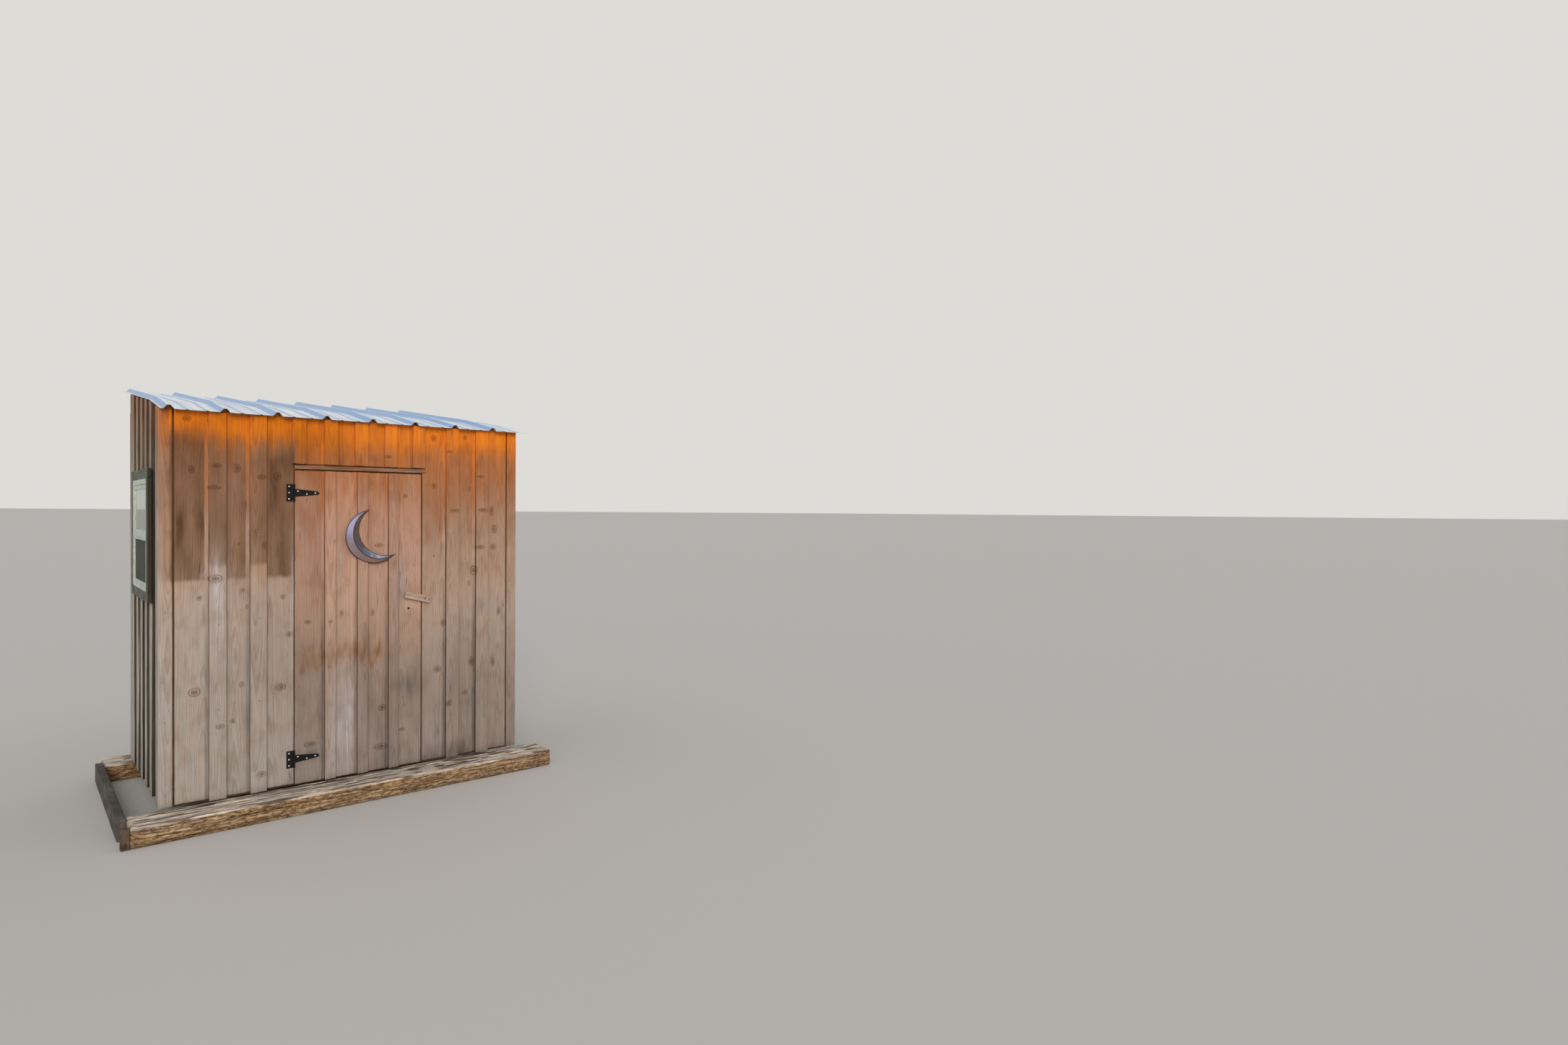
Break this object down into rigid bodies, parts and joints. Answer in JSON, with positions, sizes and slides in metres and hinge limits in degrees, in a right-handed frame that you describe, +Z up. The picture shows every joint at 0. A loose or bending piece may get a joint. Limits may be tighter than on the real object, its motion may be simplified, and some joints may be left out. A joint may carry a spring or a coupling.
{
  "type": "outhouse",
  "caption": "Lean-to board-and-batten outhouse on two timber ties, with a ribbed metal roof, a hinged plank door with a crescent, a turn button and a side window.",
  "frame": {"origin": "middle of the bounding box, on the ground under the ties", "axes": "+X to the right along the front, +Y from the front with the door to the back, +Z up"},
  "size_m": [2.15, 1.775, 2.3288],
  "materials": {
    "tie_timber": "grey-tan cracked tie timber, brown and fibrous on its faces",
    "grey_plank": "dark grey weathered plank",
    "stake_wood": "brown rough stake",
    "framing_lumber": "plain sawn softwood lumber",
    "floor_boards": "plain softwood floor boards, worn",
    "front_siding": "weathered boards, orange under the eave and grey at the foot",
    "door_siding": "weathered orange-brown boards, blue-grey at the foot",
    "side_siding": "grey-brown weathered boards",
    "corner_trim": "pinkish weathered trim with a pale grey edge",
    "header_strip": "weathered strip",
    "window_casing": "grey weathered casing boards with dark ends",
    "window_vinyl": "pale greenish white window frame",
    "window_glass": "clear window glass",
    "insect_screen": "dark insect screen",
    "roof_metal": "bluish white galvanised ribbed sheet",
    "hinge_black": "black painted steel",
    "hinge_pin_steel": "dull steel pin",
    "screw_steel": "zinc screw and spacer",
    "crescent_metal": "bluish purple-grey patina, pinkish brown on one bevel",
    "button_wood": "weathered wooden turn button"
  },
  "bodies": {
    "shed": {"front_tie": "tie_timber", "back_tie": "tie_timber", "side_plank": "grey_plank", "corner_stake": "stake_wood", "floor_rims": "framing_lumber", "floor_joists": "framing_lumber", "floor_deck": "floor_boards", "sole_plates": "framing_lumber", "studs": "framing_lumber", "top_plates": "framing_lumber", "door_header": "framing_lumber", "window_rails": "framing_lumber", "rafters": "framing_lumber", "eave_blocks": "framing_lumber", "purlins": "framing_lumber", "front_wall_left": "front_siding", "front_wall_right": "front_siding", "front_wall_over_door": "front_siding", "left_wall": "side_siding", "right_wall": "side_siding", "back_wall": "side_siding", "front_battens": "front_siding", "side_battens": "side_siding", "back_battens": "side_siding", "end_trims": "corner_trim", "side_trims": "corner_trim", "header_strip": "header_strip", "casing_rails": "window_casing", "casing_stiles": "window_casing", "window_frame": "window_vinyl", "window_sashes": "window_vinyl", "window_glass": "window_glass", "screen_frame": "window_vinyl", "insect_screen": "insect_screen", "roof_sheet_left": "roof_metal", "roof_sheet_right": "roof_metal", "hinge_leaves": "hinge_black", "hinge_pins": "hinge_pin_steel", "button_screw": "screw_steel"},
    "door": {"door_boards": "door_siding", "door_battens": "door_siding", "door_ledges": "framing_lumber", "hinge_straps": "hinge_black", "crescent": "crescent_metal"},
    "turn_button": {"turn_button": "button_wood"}
  },
  "joints": [
    {"name": "door_hinge", "type": "hinge", "parent": "shed", "child": "door", "pos_m": [-0.3175, -0.7161, 0.96], "axis": [0, 0, -1], "range_deg": [0, 105]},
    {"name": "button_turn", "type": "hinge", "parent": "shed", "child": "turn_button", "pos_m": [0.368, -0.727, 1.068], "axis": [0, 1, 0], "range_deg": [-104.5, 75.5]}
  ]
}
